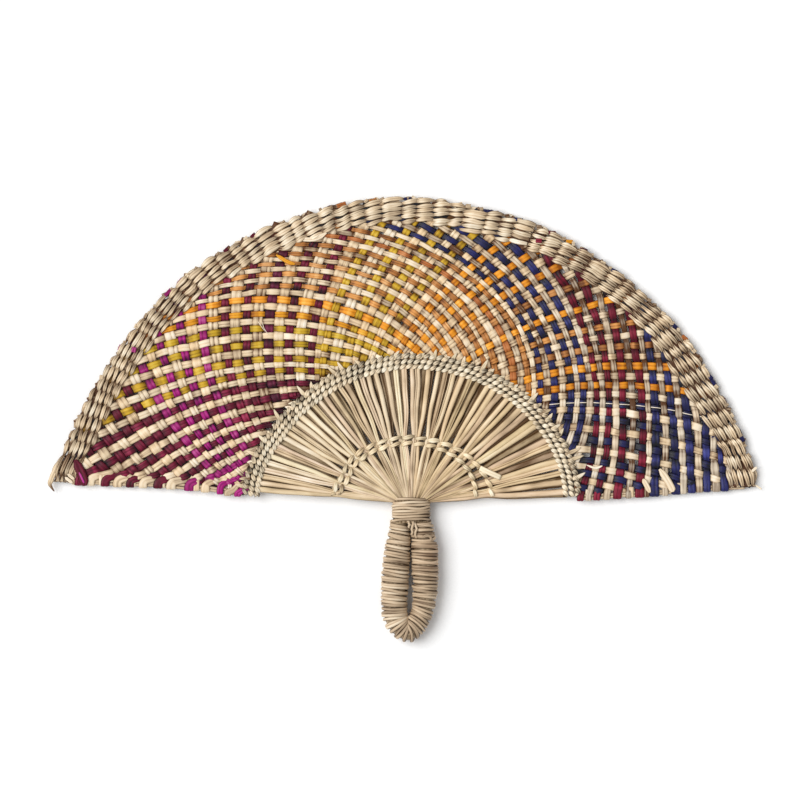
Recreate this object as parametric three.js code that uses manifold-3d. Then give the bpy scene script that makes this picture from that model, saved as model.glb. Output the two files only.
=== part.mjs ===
// A hand-woven straw fan, lying on its back. Its blade is a half ellipse of straw strands between
// a twined border and a twined inner band. Thin stalks run from the inner band to the neck, and
// their bundle bends down into a looped handle that is wound with straw.
//
// Millimetres, +Z up. +Y points from the handle to the top of the blade, +X to the right.

import * as THREE from 'three';
import { mergeVertices } from 'three/addons/utils/BufferGeometryUtils.js';
import Module from 'manifold-3d';

const wasm = await Module();
wasm.setup();

const degree = Math.PI / 180;

// Clear space between two pieces that lie on each other.
const clearance = 0.3;

// Blade. Its height is measured from the top of the neck.
const bladeHalfWidth = 200;
const bladeHeight = 169.6;
const shoulderDip = 0.045;
const bladeEdgeAngle = 1.3 * degree;

// Border: rows of twining, each with one weft in front of the strands and one behind.
const borderRowCount = 5;
const borderRowPitch = 3.2;
const borderRowGap = 0.4;
const weftThickness = 1.8;

// Strands, in two layers that cross. Each is ribbed: thick along its middle, thin at its sides.
const strandThickness = 1.1;
const strandSideThickness = 0.6;
const strandEndInset = 0.5;
const colourGap = 0.12;
const strandSteps = 4;

// The straw along each lower edge of the blade.
const edgeStrawWidth = 3;

// Inner band, measured at its outer edge.
const innerBandHalfWidth = 95.5;
const innerBandHeight = 81;
const innerBandRowCount = 3;
const innerBandRowPitch = 3.3;
const innerBandRowGap = 0.5;

// Small band across the stalks, measured at the middle of its outer row.
const smallBandHeight = 36;
const smallBandRowCount = 2;
const smallBandRowPitch = 3;
const smallBandRowGap = 0.8;
const tailLength = 7;
const tailWidth = 2.4;
const tailAngle = 158 * degree;

// Stalks: bundles that part into single straws on their way to the inner band.
const bundleCount = 18;
const strawsPerBundle = 3;
const strawGap = 1.5;
const strawThickness = 2.8;

// Neck, bound by a winding.
const neckLength = 13.2;
const neckWidth = 20.8;
const neckThickness = 13.4;
const neckWindingLoops = 6;
const neckWindingThickness = 2;

// The knob in which the stalks meet, just above the neck winding.
const knobHalfWidth = 9.7;
const knobHeight = 6.4;
const knobHalfThickness = 5.2;

// Handle loop, wound with flat straw. The thickness is over the winding.
const handleLength = 82.3;
const handleThickness = 14.2;
const handleTopThickness = 12.2;
const handleSlotWidth = 3.6;
const handleTopSlotWidth = 0.7;
const handleWindingLoops = 24;
const handleWindingThickness = 2;
const neckOverlap = 1.2;

// Clear space between one turn of a winding and the next.
const turnGap = 0.6;

// Steps of the round shapes.
const borderSteps = 24;
const innerBandSteps = 20;
const smallBandSteps = 12;
const cutSteps = 28;
const stepsPerLoop = 12;
const handleRings = 26;
const handleSides = 10;
const neckSides = 20;

// Heights above the table of the middle of the border, which lies flat, and of the handle.
const borderMiddle = weftThickness + clearance + strandThickness + clearance / 2;
const handleMiddle = handleThickness / 2;

// Widths and places that follow from the sizes above.
const handleBend = (handleThickness + handleSlotWidth) / 2;
const legTopOffset = (handleTopThickness + handleTopSlotWidth) / 2;
const hubHalfWidth = knobHalfWidth + clearance;
const hubHeight = knobHeight + clearance;
const borderInnerLevel = bladeHeight - borderRowCount * borderRowPitch;
const strandEndLevel = innerBandHeight - innerBandRowPitch + clearance / 2;
const strawEndLevel = innerBandHeight - innerBandRowPitch - clearance / 2;

const colours = {
  natural: 0xc9b489,
  bandStraw: 0xb5a67e,
  cream: 0xd8c69c,
  stalk: 0xc4ab80,
  cord: 0xbda878,
  wine: 0x6d1f3c,
  magenta: 0xb02d7c,
  yellow: 0xc6a12f,
  orange: 0xd08a35,
  tan: 0xb57d48,
  navy: 0x2b2f6b,
};

// Solids

function closedGeometry(positions, triangles) {
  const geometry = new THREE.BufferGeometry();
  geometry.setAttribute('position', new THREE.Float32BufferAttribute(positions, 3));
  geometry.setIndex(triangles);
  if (enclosedVolume(geometry) < 0) {
    for (let i = 0; i < triangles.length; i += 3) {
      [triangles[i], triangles[i + 1]] = [triangles[i + 1], triangles[i]];
    }
    geometry.setIndex(triangles);
  }
  return geometry;
}

function enclosedVolume(geometry) {
  const corner = [new THREE.Vector3(), new THREE.Vector3(), new THREE.Vector3()];
  const position = geometry.getAttribute('position');
  const index = geometry.getIndex();
  let volume = 0;
  for (let i = 0; i < index.count; i += 3) {
    corner.forEach((point, k) => point.fromBufferAttribute(position, index.getX(i + k)));
    volume += corner[0].dot(corner[1].cross(corner[2])) / 6;
  }
  return volume;
}

// A solid swept through rings of points, with a flat cap on its first and last ring.
function sweptSolid(rings) {
  const sides = rings[0].length;
  const positions = [];
  const triangles = [];
  for (const ring of rings) {
    for (const point of ring) {
      positions.push(point.x, point.y, point.z);
    }
  }
  for (let i = 0; i + 1 < rings.length; i++) {
    for (let j = 0; j < sides; j++) {
      const a = i * sides + j;
      const b = i * sides + (j + 1) % sides;
      triangles.push(a, b, a + sides, b, b + sides, a + sides);
    }
  }
  const last = (rings.length - 1) * sides;
  for (let j = 1; j + 1 < sides; j++) {
    triangles.push(0, j + 1, j, last, last + j, last + j + 1);
  }
  return closedGeometry(positions, triangles);
}

// A sheet between a grid of top points and a grid of bottom points. The bottom grid has a column
// under every second column of the top grid.
function ribbedSheetSolid(top, bottom) {
  const rows = top.length;
  const topColumns = top[0].length;
  const bottomColumns = bottom[0].length;
  const positions = [];
  const triangles = [];
  for (const row of [...top, ...bottom]) {
    for (const point of row) {
      positions.push(point.x, point.y, point.z);
    }
  }
  const topIndex = (row, column) => row * topColumns + column;
  const bottomIndex = (row, column) => rows * topColumns + row * bottomColumns + column;
  const quad = (a, b, c, d) => triangles.push(a, b, c, a, c, d);
  for (let i = 0; i + 1 < rows; i++) {
    for (let j = 0; j + 1 < topColumns; j++) {
      quad(topIndex(i, j), topIndex(i + 1, j), topIndex(i + 1, j + 1), topIndex(i, j + 1));
    }
    for (let j = 0; j + 1 < bottomColumns; j++) {
      quad(bottomIndex(i, j), bottomIndex(i, j + 1), bottomIndex(i + 1, j + 1),
        bottomIndex(i + 1, j));
    }
    const right = [topColumns - 1, bottomColumns - 1];
    quad(topIndex(i, 0), bottomIndex(i, 0), bottomIndex(i + 1, 0), topIndex(i + 1, 0));
    quad(topIndex(i, right[0]), topIndex(i + 1, right[0]), bottomIndex(i + 1, right[1]),
      bottomIndex(i, right[1]));
  }
  for (const [row, turned] of [[0, false], [rows - 1, true]]) {
    for (let j = 0; j + 1 < bottomColumns; j++) {
      const rib = [2 * j, 2 * j + 1, 2 * j + 2].map((column) => topIndex(row, column));
      const under = [bottomIndex(row, j), bottomIndex(row, j + 1)];
      const faces = [
        [rib[0], rib[1], under[0]],
        [rib[1], rib[2], under[1]],
        [rib[1], under[1], under[0]],
      ];
      for (const face of faces) {
        triangles.push(...(turned ? face.reverse() : face));
      }
    }
  }
  return closedGeometry(positions, triangles);
}

function toManifold(geometry) {
  const bare = geometry.clone();
  bare.deleteAttribute('normal');
  bare.deleteAttribute('uv');
  const merged = mergeVertices(bare, 1e-5);
  return new wasm.Manifold(new wasm.Mesh({
    numProp: 3,
    vertProperties: new Float32Array(merged.getAttribute('position').array),
    triVerts: new Uint32Array(merged.getIndex().array),
  }));
}

function fromManifold(solid) {
  const { vertProperties, triVerts } = solid.getMesh();
  const geometry = new THREE.BufferGeometry();
  geometry.setAttribute('position', new THREE.Float32BufferAttribute(vertProperties, 3));
  geometry.setIndex(Array.from(triVerts));
  return geometry;
}

function joined(geometries) {
  const solids = geometries.map(toManifold);
  return fromManifold(solids.slice(1).reduce((whole, piece) => whole.add(piece), solids[0]));
}

// The blade's surface

// A point on the blade. The level is the height that the point's curve has at the top of the
// blade: bladeHeight on the rim, innerBandHeight on the inner band, hubHeight at the knob. The
// angle runs from 0 at the left edge to 180 degrees at the right edge.
function bladePoint(level, angle, lift = 0) {
  const rim = curvePoint(bladeHalfWidth, bladeHeight, shoulderDip, angle);
  const band = curvePoint(innerBandHalfWidth, innerBandHeight, shoulderDip, angle);
  const hub = curvePoint(hubHalfWidth, hubHeight, 0, angle);
  const point = level > innerBandHeight
    ? band.lerp(rim, (level - innerBandHeight) / (bladeHeight - innerBandHeight))
    : hub.lerp(band, (level - hubHeight) / (innerBandHeight - hubHeight));
  point.z = middleHeight(level) + lift;
  return point;
}

function curvePoint(halfWidth, height, dip, angle) {
  const share = 1 - dip * Math.sin(2 * angle) ** 2;
  return new THREE.Vector3(
    -halfWidth * share * Math.cos(angle), height * share * Math.sin(angle), 0);
}

// The blade slopes from the thick handle down to the thin border.
function middleHeight(level) {
  return THREE.MathUtils.mapLinear(
    Math.min(level, borderInnerLevel), borderInnerLevel, hubHeight, borderMiddle, handleMiddle);
}

// The angle at which the blade is a given distance above its lower edge.
function angleAboveEdge(level, distance) {
  return bladeEdgeAngle + distance / level;
}

function bladeAngle(share) {
  return THREE.MathUtils.lerp(bladeEdgeAngle, Math.PI - bladeEdgeAngle, share);
}

// Wefts: straws that lie along a curve of the blade

// A six-sided straw along one level, between a lower and an upper height.
function weftSolid(level, width, lowLift, highLift, steps) {
  const section = [
    [-width / 2, (lowLift + highLift) / 2],
    [-width / 3, lowLift],
    [width / 3, lowLift],
    [width / 2, (lowLift + highLift) / 2],
    [width / 3, highLift],
    [-width / 3, highLift],
  ];
  const rings = [];
  for (let i = 0; i <= steps; i++) {
    const angle = bladeAngle(i / steps);
    rings.push(section.map(([across, lift]) => bladePoint(level + across, angle, lift)));
  }
  return sweptSolid(rings);
}

// A row of twining: one weft in front of what it holds and one behind.
function addTwiningRow(name, level, width, heldHalfThickness, steps, colour) {
  const near = heldHalfThickness + clearance;
  const far = near + weftThickness;
  addPiece(`${name}_front`, weftSolid(level, width, near, far, steps), colour);
  addPiece(`${name}_back`, weftSolid(level, width, -far, -near, steps), colour);
}

// Strands

// The strands bend as they run from the rim to the inner band. Of each family, the first strand's
// angles at the rim and at the inner band, the step from strand to strand, and the bend.
const strandFamilies = {
  front: {
    rimStart: -37.2 * degree,
    rimStep: 2.875 * degree,
    bandStart: 6.4 * degree,
    bandStep: 3.36 * degree,
    bend: 0.38,
    side: 1,
    zones: [
      ['wine', 16], ['yellow', 8], ['orange', 8], ['tan', 10], ['navy', 8], ['red', 8],
      ['blue', 18],
    ],
  },
  back: {
    rimStart: 0,
    rimStep: 2.88 * degree,
    bandStart: -47.2 * degree,
    bandStep: 3.32 * degree,
    bend: 0.3,
    side: -1,
    zones: [
      ['wine', 15], ['magenta', 6], ['red', 10], ['yellow', 8], ['orange', 6], ['tan', 12],
      ['navy', 13],
    ],
  },
};

const zoneColours = {
  wine: colours.wine,
  magenta: colours.magenta,
  red: colours.wine,
  yellow: colours.yellow,
  orange: colours.orange,
  tan: colours.tan,
  navy: colours.navy,
  blue: colours.navy,
};

function strandAngle(family, number, depth) {
  const start = family.rimStart + family.rimStep * number;
  const end = family.bandStart + family.bandStep * number;
  const share = depth * (1 - family.bend + family.bend * depth);
  return start + (end - start) * share;
}

// A ribbed sheet of neighbouring strands, from the rim to under the inner band.
function strandSheet(family, first, count) {
  const top = [];
  const bottom = [];
  const flatLift = clearance / 2;
  const levels = [bladeHeight];
  for (let i = 0; i <= strandSteps; i++) {
    levels.push(THREE.MathUtils.lerp(borderInnerLevel, strandEndLevel - clearance, i / strandSteps));
  }
  for (const level of levels) {
    const depth = (bladeHeight - level) / (bladeHeight - strandEndLevel);
    const topRow = [];
    const bottomRow = [];
    for (let j = 0; j <= 2 * count; j++) {
      const atEnd = j === 0 ? colourGap / 2 : j === 2 * count ? -colourGap / 2 : 0;
      const number = first - 0.5 + j / 2 + atEnd;
      const angle = strandAngle(family, number, depth);
      const thickness = j % 2 === 1 ? strandThickness : strandSideThickness;
      topRow.push(bladePoint(level, angle, family.side * (flatLift + thickness)));
      if (j % 2 === 0) {
        bottomRow.push(bladePoint(level, angle, family.side * flatLift));
      }
    }
    top.push(topRow);
    bottom.push(bottomRow);
  }
  return ribbedSheetSolid(top, bottom);
}

// The space that the strands may fill, as one upright block.
function strandSpace() {
  const rimLevel = bladeHeight - strandEndInset;
  const aboveEdge = edgeStrawWidth + clearance;
  const outline = [];
  for (const [level, from, to] of [[rimLevel, 0, 1], [strandEndLevel, 1, 0]]) {
    const start = angleAboveEdge(level, aboveEdge);
    for (let i = 0; i <= cutSteps; i++) {
      const share = THREE.MathUtils.lerp(from, to, i / cutSteps);
      const angle = THREE.MathUtils.lerp(start, Math.PI - start, share);
      const point = bladePoint(level, angle);
      outline.push(new THREE.Vector2(point.x, point.y));
    }
  }
  const block = new THREE.ExtrudeGeometry(
    new THREE.Shape(outline), { depth: handleThickness * 2, bevelEnabled: false });
  return block.translate(0, 0, -handleThickness / 2);
}

// The straw along a lower edge, over which the strands fold. Side -1 is left, 1 is right.
function edgeStraw(side) {
  const halfHeight = strandThickness + clearance / 2;
  const section = [
    [0, 0], [0.25, -halfHeight], [0.75, -halfHeight], [1, 0], [0.75, halfHeight],
    [0.25, halfHeight],
  ];
  const rings = [bladeHeight - strandEndInset, innerBandHeight, strandEndLevel].map((level) =>
    section.map(([share, lift]) => {
      const angle = angleAboveEdge(level, share * edgeStrawWidth);
      return bladePoint(level, side < 0 ? angle : Math.PI - angle, lift);
    }));
  return sweptSolid(rings);
}

// Stalks

// A straw that widens from the knob to the inner band. It fills its share of each curve but for
// the gap to its neighbour.
function strawSolid(hubShare, hubPitch, endShare, endPitch) {
  const ends = [
    [hubHeight, hubShare, hubPitch, clearance],
    [strawEndLevel, endShare, endPitch, strawGap],
  ];
  const rings = ends.map(([level, share, pitch, gap]) => {
    const from = bladePoint(level, bladeAngle(share - pitch / 2));
    const to = bladePoint(level, bladeAngle(share + pitch / 2));
    const gapShare = gap / from.distanceTo(to) / 2;
    const at = (across, lift) => {
      const point = from.clone().lerp(to, gapShare + across * (1 - 2 * gapShare));
      point.z += lift;
      return point;
    };
    const half = strawThickness / 2;
    return [at(0, 0), at(0.25, -half), at(0.75, -half), at(1, 0), at(0.75, half), at(0.25, half)];
  });
  return sweptSolid(rings);
}

function stalkBundle(number) {
  const strawCount = bundleCount * strawsPerBundle;
  const straws = [];
  for (let i = 0; i < strawsPerBundle; i++) {
    const endShare = (number * strawsPerBundle + i + 0.5) / strawCount;
    straws.push(strawSolid((number + 0.5) / bundleCount, 1 / bundleCount, endShare, 1 / strawCount));
  }
  return joined(straws);
}

// The cut end of the small band's straw, lying on the stalks.
function bandTail() {
  const low = strawThickness / 2 + clearance;
  const start = smallBandHeight + (smallBandRowPitch - smallBandRowGap) / 2 + clearance;
  const rings = [start, start + tailLength].map((level) => {
    const halfAngle = tailWidth / level / 2;
    return [
      bladePoint(level, tailAngle - halfAngle, low),
      bladePoint(level, tailAngle + halfAngle, low),
      bladePoint(level, tailAngle + halfAngle / 2, low + weftThickness),
      bladePoint(level, tailAngle - halfAngle / 2, low + weftThickness),
    ];
  });
  return sweptSolid(rings);
}

// Handle

// The loop's middle line: a leg down, a half circle and a leg up again, by the share of its length.
const legTop = -(neckLength + clearance);
const bendMiddle = -(handleLength - handleThickness / 2 - handleBend);
const legLength = Math.hypot(handleBend - legTopOffset, legTop - bendMiddle);
const bendLength = Math.PI * handleBend;
const loopLength = 2 * legLength + bendLength;

function loopPoint(share) {
  const along = share * loopLength;
  const mirrored = along > loopLength / 2;
  const fromTop = mirrored ? loopLength - along : along;
  const side = mirrored ? 1 : -1;
  if (fromTop < legLength) {
    const down = fromTop / legLength;
    const x = THREE.MathUtils.lerp(legTopOffset, handleBend, down);
    return new THREE.Vector3(side * x, THREE.MathUtils.lerp(legTop, bendMiddle, down), handleMiddle);
  }
  const turn = (fromTop - legLength) / handleBend;
  return new THREE.Vector3(
    side * handleBend * Math.cos(turn), bendMiddle - handleBend * Math.sin(turn), handleMiddle);
}

function loopThickness(share) {
  const fromTop = Math.min(share, 1 - share) * loopLength;
  const down = THREE.MathUtils.smoothstep(fromTop, 0, legLength);
  return THREE.MathUtils.lerp(handleTopThickness, handleThickness, down);
}

// A point round the loop, at a depth below the handle's outer surface.
function handlePoint(share, turn, depth) {
  const step = 1e-3;
  const middle = loopPoint(share);
  const along = loopPoint(share + step).sub(loopPoint(share - step)).normalize();
  const across = new THREE.Vector3(-along.y, along.x, 0);
  const radius = loopThickness(share) / 2 - depth;
  return middle
    .addScaledVector(across, radius * Math.cos(turn))
    .add(new THREE.Vector3(0, 0, radius * Math.sin(turn)));
}

// A point round the neck, by its share of the neck's length.
function neckPoint(share, turn, depth) {
  return new THREE.Vector3(
    (neckWidth / 2 - depth) * Math.cos(turn),
    -neckLength * share,
    handleMiddle + (neckThickness / 2 - depth) * Math.sin(turn));
}

// A flat straw wound along a surface in one unbroken run. Its sides keep the turn gap to the
// turns beside it, also where the surface is short on the inside of a bend.
function windingRings(surfacePoint, from, to, loops, thickness) {
  const rings = [];
  const crown = thickness * 0.25;
  const pitch = (to - from) / (loops + 1);
  for (let i = 0; i <= loops * stepsPerLoop; i++) {
    const turn = 2 * Math.PI * i / stepsPerLoop;
    const share = from + pitch * (0.5 + i / stepsPerLoop);
    const width = surfacePoint(share + pitch / 2, turn, 0)
      .distanceTo(surfacePoint(share - pitch / 2, turn, 0));
    const half = pitch * (0.5 - turnGap / width / 2);
    rings.push([
      surfacePoint(share - half, turn, thickness),
      surfacePoint(share - half, turn, crown),
      surfacePoint(share, turn, 0),
      surfacePoint(share + half, turn, crown),
      surfacePoint(share + half, turn, thickness),
      surfacePoint(share, turn, thickness),
    ]);
  }
  return rings;
}

// The least distance between points that are more than half a turn apart along a winding.
function leastGap(rings) {
  let least = Infinity;
  for (let i = 0; i < rings.length; i++) {
    for (let j = i + stepsPerLoop / 2; j < rings.length; j++) {
      for (const a of rings[i]) {
        for (const b of rings[j]) {
          least = Math.min(least, a.distanceTo(b));
        }
      }
    }
  }
  return least;
}

// A rounded knob, flat below, standing on the top of the neck.
function knobSolid() {
  const profile = [new THREE.Vector2(0, 0)];
  const quarterSteps = neckSides / 4;
  for (let i = 0; i <= quarterSteps; i++) {
    const lift = Math.PI / 2 * i / quarterSteps;
    profile.push(new THREE.Vector2(i < quarterSteps ? Math.cos(lift) : 0, Math.sin(lift)));
  }
  const roundKnob = new THREE.LatheGeometry(profile, neckSides);
  roundKnob.deleteAttribute('normal');
  roundKnob.deleteAttribute('uv');
  return mergeVertices(roundKnob)
    .scale(knobHalfWidth, knobHeight, knobHalfThickness)
    .translate(0, 0, handleMiddle);
}

// Rings of points round a surface, at a depth below it, from one share of its length to another.
function surfaceRings(surfacePoint, from, to, steps, sides, depth) {
  const rings = [];
  for (let i = 0; i <= steps; i++) {
    const share = THREE.MathUtils.lerp(from, to, i / steps);
    const ring = [];
    for (let j = 0; j < sides; j++) {
      ring.push(surfacePoint(share, 2 * Math.PI * j / sides, depth));
    }
    rings.push(ring);
  }
  return rings;
}

// The bundle of stalks inside the windings: knob, neck and loop in one piece.
function handleCore() {
  const neckDepth = neckWindingThickness + clearance;
  const loopDepth = handleWindingThickness + clearance;
  const neckTop = -neckOverlap / neckLength;
  const neckBottom = 1 + (clearance + neckOverlap) / neckLength;
  return joined([
    knobSolid(),
    sweptSolid(surfaceRings(neckPoint, neckTop, neckBottom, 1, neckSides, neckDepth)),
    sweptSolid(surfaceRings(handlePoint, 0, 1, handleRings, handleSides, loopDepth)),
  ]);
}

// Assembly

const fan = new THREE.Group();
fan.position.y = (handleLength - bladeHeight) / 2;

function addPiece(name, geometry, colour) {
  geometry.computeVertexNormals();
  const material = new THREE.MeshStandardMaterial({ color: colour, roughness: 0.75, metalness: 0 });
  const mesh = new THREE.Mesh(geometry, material);
  mesh.name = name;
  fan.add(mesh);
}

const strandHalfThickness = strandThickness + clearance / 2;
const strawHalfThickness = strawThickness / 2;

for (let row = 0; row < borderRowCount; row++) {
  const level = bladeHeight - (row + 0.5) * borderRowPitch;
  addTwiningRow(`border_row_${row + 1}`, level, borderRowPitch - borderRowGap,
    strandHalfThickness, borderSteps, colours.natural);
}

for (let row = 0; row < innerBandRowCount; row++) {
  const level = innerBandHeight - (row + 0.5) * innerBandRowPitch;
  addTwiningRow(`inner_band_row_${row + 1}`, level, innerBandRowPitch - innerBandRowGap,
    row === 0 ? strandHalfThickness : strawHalfThickness, innerBandSteps, colours.bandStraw);
}

for (let row = 0; row < smallBandRowCount; row++) {
  addTwiningRow(`small_band_row_${row + 1}`, smallBandHeight - row * smallBandRowPitch,
    smallBandRowPitch - smallBandRowGap, strawHalfThickness, smallBandSteps, colours.cream);
}
addPiece('small_band_tail', bandTail(), colours.cream);

const space = toManifold(strandSpace());
for (const [layer, family] of Object.entries(strandFamilies)) {
  let first = 0;
  for (const [zone, count] of family.zones) {
    const sheet = toManifold(strandSheet(family, first, count)).intersect(space);
    addPiece(`strands_${layer}_${zone}`, fromManifold(sheet), zoneColours[zone]);
    first += count;
  }
}

addPiece('edge_straw_left', edgeStraw(-1), colours.natural);
addPiece('edge_straw_right', edgeStraw(1), colours.natural);

for (let number = 0; number < bundleCount; number++) {
  const label = String(number + 1).padStart(2, '0');
  addPiece(`stalk_bundle_${label}`, stalkBundle(number), colours.stalk);
}

addPiece('handle_core', handleCore(), colours.stalk);

const neckWinding = windingRings(
  neckPoint, 0, 1, neckWindingLoops, neckWindingThickness);
const loopMargin = (neckOverlap + clearance) / loopLength;
const handleWinding = windingRings(
  handlePoint, loopMargin, 1 - loopMargin, handleWindingLoops, handleWindingThickness);
addPiece('neck_winding', sweptSolid(neckWinding), colours.cord);
addPiece('handle_winding', sweptSolid(handleWinding), colours.cord);

console.log('least gap of the neck winding to itself, mm:', leastGap(neckWinding).toFixed(2));
console.log('least gap of the handle winding to itself, mm:', leastGap(handleWinding).toFixed(2));

export default fan;
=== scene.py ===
import math

import bpy
import numpy as np
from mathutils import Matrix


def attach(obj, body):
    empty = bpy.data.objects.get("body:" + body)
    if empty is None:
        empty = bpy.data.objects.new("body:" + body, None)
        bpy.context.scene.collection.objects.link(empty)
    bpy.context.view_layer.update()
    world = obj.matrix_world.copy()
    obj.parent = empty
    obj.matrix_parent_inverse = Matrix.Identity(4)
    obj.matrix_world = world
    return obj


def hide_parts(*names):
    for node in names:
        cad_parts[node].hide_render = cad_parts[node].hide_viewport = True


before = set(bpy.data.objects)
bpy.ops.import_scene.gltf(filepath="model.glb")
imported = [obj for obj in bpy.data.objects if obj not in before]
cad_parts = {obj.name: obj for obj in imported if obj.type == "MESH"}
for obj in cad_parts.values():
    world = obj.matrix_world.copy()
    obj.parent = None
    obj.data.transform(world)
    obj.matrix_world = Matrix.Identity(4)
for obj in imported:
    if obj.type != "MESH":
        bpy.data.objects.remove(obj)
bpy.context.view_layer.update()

random = np.random.default_rng(11)

# All lengths are in millimetres until a mesh is made.
METRES = 0.001

# The blade is charted by an angle in degrees, 0 at its left edge and 180 at its right edge, and by
# a reach, 0 at the neck and 1 at the rim.
NECK_TOP = -43.65
HALF_WIDTH = 199.4
HEIGHT = 169.6
TABLE_CLEARANCE = 0.15
HANDLE_MIDDLE = 7.1
BORDER_MIDDLE = 3.35
UP = (0, 0, 1)


def oval_point(middle, size, angle, reach):
    """A point of an oval: the angle is 0 at its left, and the reach 1 on the oval itself."""
    turn = np.radians(angle)
    x = middle[0] - size[0] * reach * np.cos(turn)
    y = middle[1] + size[1] * reach * np.sin(turn)
    return np.stack(np.broadcast_arrays(x, y), axis=-1)


def chart_point(angle, reach):
    return oval_point((0, NECK_TOP), (HALF_WIDTH, HEIGHT), angle, reach)


def chart_reach(points):
    return np.hypot(points[..., 0] / HALF_WIDTH, (points[..., 1] - NECK_TOP) / HEIGHT)


def chart_angle(points):
    up = (points[..., 1] - NECK_TOP) / HEIGHT
    return np.degrees(np.arctan2(up, -points[..., 0] / HALF_WIDTH))


def middle_height(points):
    """The blade slopes from the thick handle down to the border."""
    return np.interp(chart_reach(points), [0.04, 0.88], [HANDLE_MIDDLE, BORDER_MIDDLE])


def raised(line, height):
    """A line of the plane at a height above the blade's middle."""
    return np.column_stack([line, middle_height(line) + height])


def lower_edge(x):
    """The height of the blade's lower edge in the plane."""
    places = [-205, -180, -154, -138, -111, -97, -85, -20, 20, 100, 140, 165, 205]
    heights = [7.6, 7.4, 6.2, 5.7, 3.4, 1.3, 0.2, 0.4, -0.8, -1.3, 1.2, 3.6, 5.2]
    return NECK_TOP + np.interp(x, places, heights)


def rim_reach(angle):
    return np.interp(
        angle,
        [0, 5, 7.5, 10, 15, 20, 25, 32, 40, 50, 60, 70, 80, 90, 95, 103, 115, 125, 135, 150, 155,
         160, 165, 170, 175, 180],
        [1.004, 0.999, 0.986, 0.974, 0.963, 0.953, 0.948, 0.947, 0.951, 0.96, 0.967, 0.975, 0.987,
         0.989, 0.986, 0.976, 0.967, 0.953, 0.945, 0.943, 0.942, 0.949, 0.957, 0.968, 0.983, 0.991])


def border_inner_reach(angle):
    return np.interp(
        angle,
        [0, 5, 10, 15, 20, 27, 40, 60, 70, 80, 90, 100, 110, 120, 130, 140, 150, 155, 160, 165, 170,
         180],
        [0.95, 0.935, 0.905, 0.888, 0.884, 0.876, 0.881, 0.885, 0.893, 0.909, 0.912, 0.9, 0.89,
         0.884, 0.872, 0.866, 0.857, 0.854, 0.866, 0.882, 0.9, 0.912])


def band_outer_reach(angle):
    return np.interp(angle, [0, 5, 30, 50, 90, 110, 150, 175, 180],
                     [0.466, 0.466, 0.448, 0.452, 0.477, 0.479, 0.482, 0.49, 0.49])


def add_object(name, data):
    made = bpy.data.objects.new(name, data)
    bpy.context.scene.collection.objects.link(made)
    return made


# Straws

def corners_of(grid):
    """The four corners of each cell of a grid, in order round it."""
    return np.stack([grid[:-1, :-1], grid[1:, :-1], grid[1:, 1:], grid[:-1, 1:]], axis=2)


class StrawMesh:
    """Straws gathered into one mesh, each with grain coordinates, a tint and a tone, which carries
    painted shade and highlights besides the straw's own tone.
    """

    def __init__(self):
        # Points, corners of the faces, how many corners each has, grain, tones and tints
        self.parts = [[] for _ in range(6)]
        self.count = 0

    def add(self, rings, along, around, tone, tint):
        steps, sides, _ = rings.shape
        index = self.count + np.arange(steps * sides).reshape(steps, sides)
        quads = corners_of(np.column_stack([index, index[:, 0]]))
        grain = corners_of(np.stack(np.meshgrid(along, around, indexing="ij"), axis=-1))
        caps = [np.column_stack([np.full(sides, place), around[:-1]]) for place in along[[0, -1]]]
        made = (rings.reshape(-1, 3),
                np.concatenate([quads.ravel(), index[0], index[-1][::-1]]),
                [4] * (quads.size // 4) + [sides] * 2,
                np.concatenate([grain.reshape(-1, 2)] + caps),
                np.broadcast_to(tone, (steps, sides)).ravel(),
                np.broadcast_to(tint, (steps * sides, 3)))
        for part, values in zip(self.parts, made):
            part.append(values)
        self.count += steps * sides

    def build(self, name, straw, nodes, slot=None):
        """The piece, made of one of the materials, in place of some of the solids."""
        points, loops, sizes, grain, tones, tints = (np.concatenate(p) for p in self.parts)
        points[:, 2] = np.maximum(points[:, 2], TABLE_CLEARANCE)
        mesh = bpy.data.meshes.new(name)
        mesh.vertices.add(len(points))
        mesh.vertices.foreach_set("co", (points * METRES).ravel())
        mesh.loops.add(len(loops))
        mesh.loops.foreach_set("vertex_index", loops)
        mesh.polygons.add(len(sizes))
        mesh.polygons.foreach_set("loop_start", np.concatenate([[0], np.cumsum(sizes)[:-1]]))
        mesh.update(calc_edges=True)
        mesh.uv_layers.new(name="grain").data.foreach_set("uv", grain.ravel())
        tone = mesh.attributes.new("tone", "FLOAT", "POINT")
        tone.data.foreach_set("value", tones)
        tint = mesh.attributes.new("tint", "FLOAT_COLOR", "POINT")
        tint.data.foreach_set("color", np.column_stack([tints, np.ones(len(points))]).ravel())
        mesh.polygons.foreach_set("use_smooth", np.repeat(True, len(sizes)))
        mesh.validate()
        mesh.materials.append(materials[straw])
        piece = add_object(name, mesh)
        slot = slot or straw
        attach(piece, "root")
        if nodes:
            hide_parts(*nodes)

    def build_row(self, name, straw):
        self.build(name, straw, [f"{name}_front", f"{name}_back"])


def unit(vectors):
    return vectors / np.maximum(np.linalg.norm(vectors, axis=-1, keepdims=True), 1e-9)


def cross(first, second):
    return first[..., 0] * second[..., 1] - first[..., 1] * second[..., 0]


def lengths_along(path):
    return np.concatenate([[0], np.cumsum(np.linalg.norm(np.diff(path, axis=0), axis=1))])


def values_at(places, along, values):
    """The rows of values that belong to places along a line, read off between the known ones."""
    return np.stack([np.interp(places, along, column) for column in values.T], axis=-1)


def resampled(path, spacing):
    """The same path with its points a fixed distance apart."""
    along = lengths_along(path)
    count = max(int(round(along[-1] / spacing)), 2)
    return values_at(np.linspace(0, along[-1], count + 1), along, path)


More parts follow.
